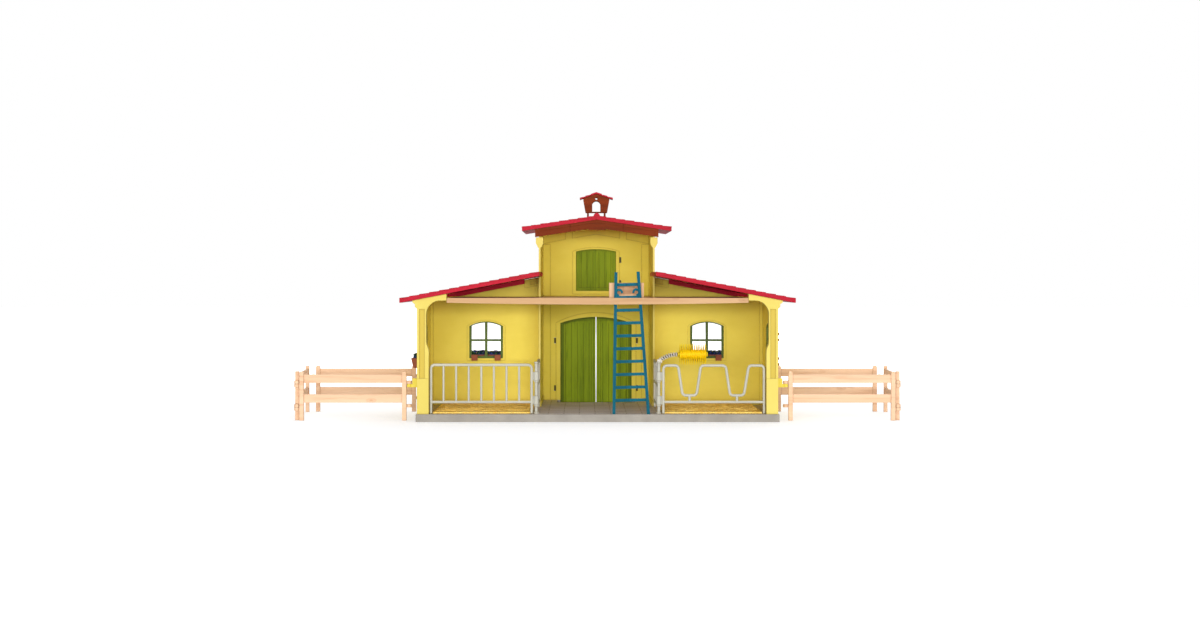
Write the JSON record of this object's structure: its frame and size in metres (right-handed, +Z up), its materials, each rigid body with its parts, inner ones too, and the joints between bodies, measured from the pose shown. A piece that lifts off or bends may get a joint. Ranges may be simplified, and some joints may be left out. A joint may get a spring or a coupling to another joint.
{
  "type": "toy barn",
  "caption": "Toy barn open at the front, with hinged plank doors, stalls with swinging gates, a loft reached by a ladder, tiled roofs and hinged paddock fences.",
  "frame": {"origin": "on the underside of the base plate, 130 mm behind its front edge, in the middle of its width", "axes": "+X to the right as seen from the open side, +Y from the open side to the doorway wall, +Z up"},
  "size_m": [0.8182, 0.2845, 0.3095],
  "materials": {
    "base_grey": "fine matt moulding",
    "straw": "moulded straw relief",
    "wall_yellow": "satin moulding",
    "window_green": "satin moulding",
    "planter_brown": "satin moulding",
    "flowers": "painted leaves and blossoms",
    "peach": "fine wood grain relief",
    "roof_red": "satin tile relief",
    "truss_brown": "wood grain relief",
    "gate_grey": "satin moulding",
    "brush_yellow": "soft moulding",
    "door_green": "wood grain relief",
    "ladder_blue": "satin moulding"
  },
  "bodies": {
    "barn": {"base_plate": "base_grey", "straw_mat_left": "straw", "straw_mat_right": "straw", "side_wall_left": "wall_yellow", "side_wall_right": "wall_yellow", "wing_wall_left": "wall_yellow", "wing_wall_right": "wall_yellow", "bay_shell": "wall_yellow", "window_left": "window_green", "window_right": "window_green", "window_side_left": "window_green", "window_side_right": "window_green", "planter_left": "planter_brown", "planter_right": "planter_brown", "planter_side": "planter_brown", "flowers_left": "flowers", "flowers_right": "flowers", "flowers_side": "flowers", "loft_floor": "peach", "hay_crate": "peach", "wing_roof_left": "roof_red", "wing_roof_right": "roof_red", "tower_roof": "roof_red", "gable_truss": "truss_brown", "birdhouse": "truss_brown", "birdhouse_roof": "roof_red", "partition_left": "gate_grey", "partition_right": "gate_grey", "brush_arm": "gate_grey", "tack_hooks": "gate_grey"},
    "door_left": {"barn_door_left": "door_green"},
    "door_right": {"barn_door_right": "door_green"},
    "hay_door": {"loft_door": "door_green"},
    "stall_gate_left": {"gate_left": "gate_grey"},
    "stall_gate_right": {"gate_right": "gate_grey"},
    "brush": {"brush_core": "brush_yellow", "brush_bristles": "brush_yellow"},
    "ladder": {"ladder": "ladder_blue"},
    "panel_front_left": {"fence_front_left": "peach"},
    "panel_end_left": {"fence_end_left": "peach"},
    "panel_back_left": {"fence_back_left": "peach"},
    "panel_front_right": {"fence_front_right": "peach"},
    "panel_end_right": {"fence_end_right": "peach"},
    "panel_back_right": {"fence_back_right": "peach"}
  },
  "joints": [
    {"name": "door_left_hinge", "type": "hinge", "parent": "barn", "child": "door_left", "pos_m": [-0.0563, 0.134, 0], "axis": [0, 0, 1], "range_deg": [0, 110]},
    {"name": "door_right_hinge", "type": "hinge", "parent": "barn", "child": "door_right", "pos_m": [0.0563, 0.134, 0], "axis": [0, 0, -1], "range_deg": [0, 110]},
    {"name": "loft_door_hinge", "type": "hinge", "parent": "barn", "child": "hay_door", "pos_m": [0.0336, 0.134, 0.18], "axis": [0, 0, -1], "range_deg": [0, 110]},
    {"name": "gate_left_hinge", "type": "hinge", "parent": "barn", "child": "stall_gate_left", "pos_m": [-0.08, -0.12, 0.02], "axis": [0, 0, 1], "range_deg": [0, 100]},
    {"name": "gate_right_hinge", "type": "hinge", "parent": "barn", "child": "stall_gate_right", "pos_m": [0.08, -0.12, 0.02], "axis": [0, 0, -1], "range_deg": [0, 100]},
    {"name": "brush_spin", "type": "hinge", "parent": "barn", "child": "brush", "pos_m": [0.12562, -0.1, 0.08672], "axis": [1, 0, 0], "continuous": true},
    {"name": "ladder_lift", "type": "slide", "parent": "barn", "child": "ladder", "axis": [-0.0261, 0.0958, 0.9951], "range_m": [0, 0.09]},
    {"name": "fence_front_left_hinge", "type": "hinge", "parent": "barn", "child": "panel_front_left", "pos_m": [-0.2474, -0.104, 0], "axis": [0, 0, 1], "range_deg": [0, 90]},
    {"name": "fence_end_left_hinge", "type": "hinge", "parent": "panel_front_left", "child": "panel_end_left", "pos_m": [-0.3954, -0.104, 0], "axis": [0, 0, 1], "range_deg": [0, 120]},
    {"name": "fence_back_left_hinge", "type": "hinge", "parent": "barn", "child": "panel_back_left", "pos_m": [-0.25, 0.044, 0], "axis": [0, 0, -1], "range_deg": [0, 90]},
    {"name": "fence_front_right_hinge", "type": "hinge", "parent": "barn", "child": "panel_front_right", "pos_m": [0.2474, -0.104, 0], "axis": [0, 0, -1], "range_deg": [0, 90]},
    {"name": "fence_end_right_hinge", "type": "hinge", "parent": "panel_front_right", "child": "panel_end_right", "pos_m": [0.3954, -0.104, 0], "axis": [0, 0, -1], "range_deg": [0, 120]},
    {"name": "fence_back_right_hinge", "type": "hinge", "parent": "barn", "child": "panel_back_right", "pos_m": [0.25, 0.044, 0], "axis": [0, 0, 1], "range_deg": [0, 90]}
  ]
}
